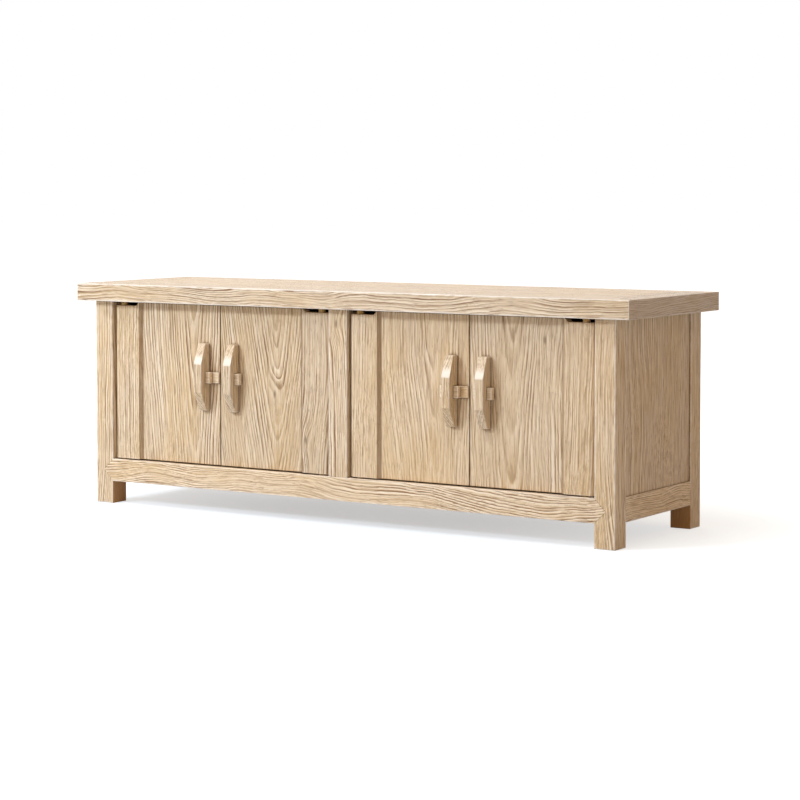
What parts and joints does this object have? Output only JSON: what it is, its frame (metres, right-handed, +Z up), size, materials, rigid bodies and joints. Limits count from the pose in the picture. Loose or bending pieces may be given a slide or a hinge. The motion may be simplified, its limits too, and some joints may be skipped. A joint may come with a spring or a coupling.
{
  "type": "four-door cabinet",
  "caption": "Long low cabinet in pale brushed wood: thick overhanging mitred top, square legs, pivot-hung panelled doors with faceted pulls and sliding wooden bolts.",
  "frame": {"origin": "on the floor, under the middle of the top", "axes": "+X along the length to the right seen from the front, +Y to the back, +Z up; doors face -Y"},
  "size_m": [1.8, 0.53, 0.64],
  "materials": {
    "top_wood": "brushed natural elm, matt wax",
    "frame_wood": "brushed natural elm, matt wax",
    "door_wood": "brushed natural elm, matt wax",
    "pull_wood": "brushed natural elm, matt wax",
    "pivot_wood": "darker turned hardwood, bare",
    "inner_wood": "plain planed wood, matt"
  },
  "bodies": {
    "carcass": {"back_centre_post": "frame_wood", "back_left_post": "frame_wood", "back_rail": "frame_wood", "back_right_post": "frame_wood", "centre_bearer": "inner_wood", "front_centre_post": "frame_wood", "front_left_post": "frame_wood", "front_rail": "frame_wood", "front_right_post": "frame_wood", "left_back_panel": "inner_wood", "left_floor": "inner_wood", "left_rail": "frame_wood", "left_shelf": "inner_wood", "left_shelf_cleats": "inner_wood", "left_side_panel": "frame_wood", "lower_door_stops": "inner_wood", "partition": "inner_wood", "right_back_panel": "inner_wood", "right_floor": "inner_wood", "right_rail": "frame_wood", "right_shelf": "inner_wood", "right_shelf_cleats": "inner_wood", "right_side_panel": "frame_wood", "top_back_rail": "top_wood", "top_battens": "inner_wood", "top_board_back": "top_wood", "top_board_front": "top_wood", "top_board_middle": "top_wood", "top_front_rail": "top_wood", "top_left_rail": "top_wood", "top_right_rail": "top_wood", "upper_door_stops": "inner_wood"},
    "door_1": {"door_1_battens": "inner_wood", "door_1_cross_block": "pull_wood", "door_1_panel": "door_wood", "door_1_pivot_pins": "pivot_wood", "door_1_pivot_stile": "door_wood", "door_1_pull": "pull_wood"},
    "door_2": {"door_2_battens": "inner_wood", "door_2_cross_block": "pull_wood", "door_2_panel": "door_wood", "door_2_pivot_pins": "pivot_wood", "door_2_pivot_stile": "door_wood", "door_2_pull": "pull_wood"},
    "door_3": {"door_3_battens": "inner_wood", "door_3_cross_block": "pull_wood", "door_3_panel": "door_wood", "door_3_pivot_pins": "pivot_wood", "door_3_pivot_stile": "door_wood", "door_3_pull": "pull_wood"},
    "door_4": {"door_4_battens": "inner_wood", "door_4_cross_block": "pull_wood", "door_4_panel": "door_wood", "door_4_pivot_pins": "pivot_wood", "door_4_pivot_stile": "door_wood", "door_4_pull": "pull_wood"},
    "left_bolt": {"left_bolt": "pull_wood"},
    "right_bolt": {"right_bolt": "pull_wood"}
  },
  "joints": [
    {"name": "door_1_hinge", "type": "hinge", "parent": "carcass", "child": "door_1", "pos_m": [-0.757, -0.2215, 0.36], "axis": [0, 0, -1], "range_deg": [0, 120]},
    {"name": "door_2_hinge", "type": "hinge", "parent": "carcass", "child": "door_2", "pos_m": [-0.063, -0.2215, 0.36], "axis": [0, 0, 1], "range_deg": [0, 90]},
    {"name": "door_3_hinge", "type": "hinge", "parent": "carcass", "child": "door_3", "pos_m": [0.063, -0.2215, 0.36], "axis": [0, 0, -1], "range_deg": [0, 90]},
    {"name": "door_4_hinge", "type": "hinge", "parent": "carcass", "child": "door_4", "pos_m": [0.757, -0.2215, 0.36], "axis": [0, 0, 1], "range_deg": [0, 120]},
    {"name": "left_bolt_slide", "type": "slide", "parent": "door_1", "child": "left_bolt", "axis": [1, 0, 0], "range_m": [0, 0.046]},
    {"name": "right_bolt_slide", "type": "slide", "parent": "door_3", "child": "right_bolt", "axis": [1, 0, 0], "range_m": [0, 0.046]}
  ]
}
